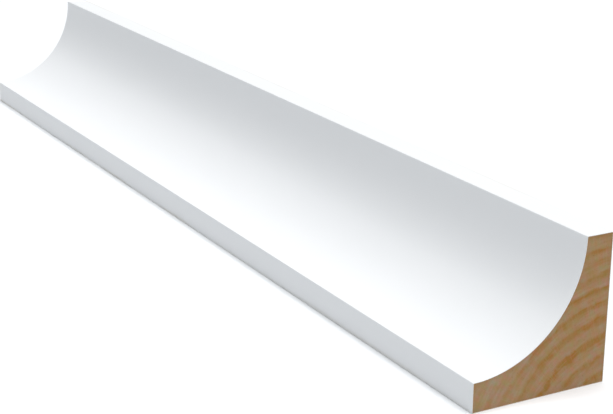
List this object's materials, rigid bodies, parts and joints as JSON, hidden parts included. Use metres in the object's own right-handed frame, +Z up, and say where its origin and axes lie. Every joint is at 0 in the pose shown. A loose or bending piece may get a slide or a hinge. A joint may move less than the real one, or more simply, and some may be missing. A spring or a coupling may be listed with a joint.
{
  "type": "cove moulding",
  "caption": "Small primed wood cove moulding of square section: a quarter-round hollow between narrow flat lips, a flat back and underside, and square-sawn ends. Covers an inside corner.",
  "frame": {"origin": "middle of the flat underside, which is the middle of the bounding box's bottom", "axes": "+X along the length, +Y from the hollow side to the flat back, +Z up from the flat underside"},
  "size_m": [0.1524, 0.0174, 0.0175],
  "materials": {
    "primed_pine": "satin white primer on the long faces, bare sawn end grain on both ends"
  },
  "bodies": {
    "root": {"cove_moulding": "primed_pine"}
  },
  "joints": []
}
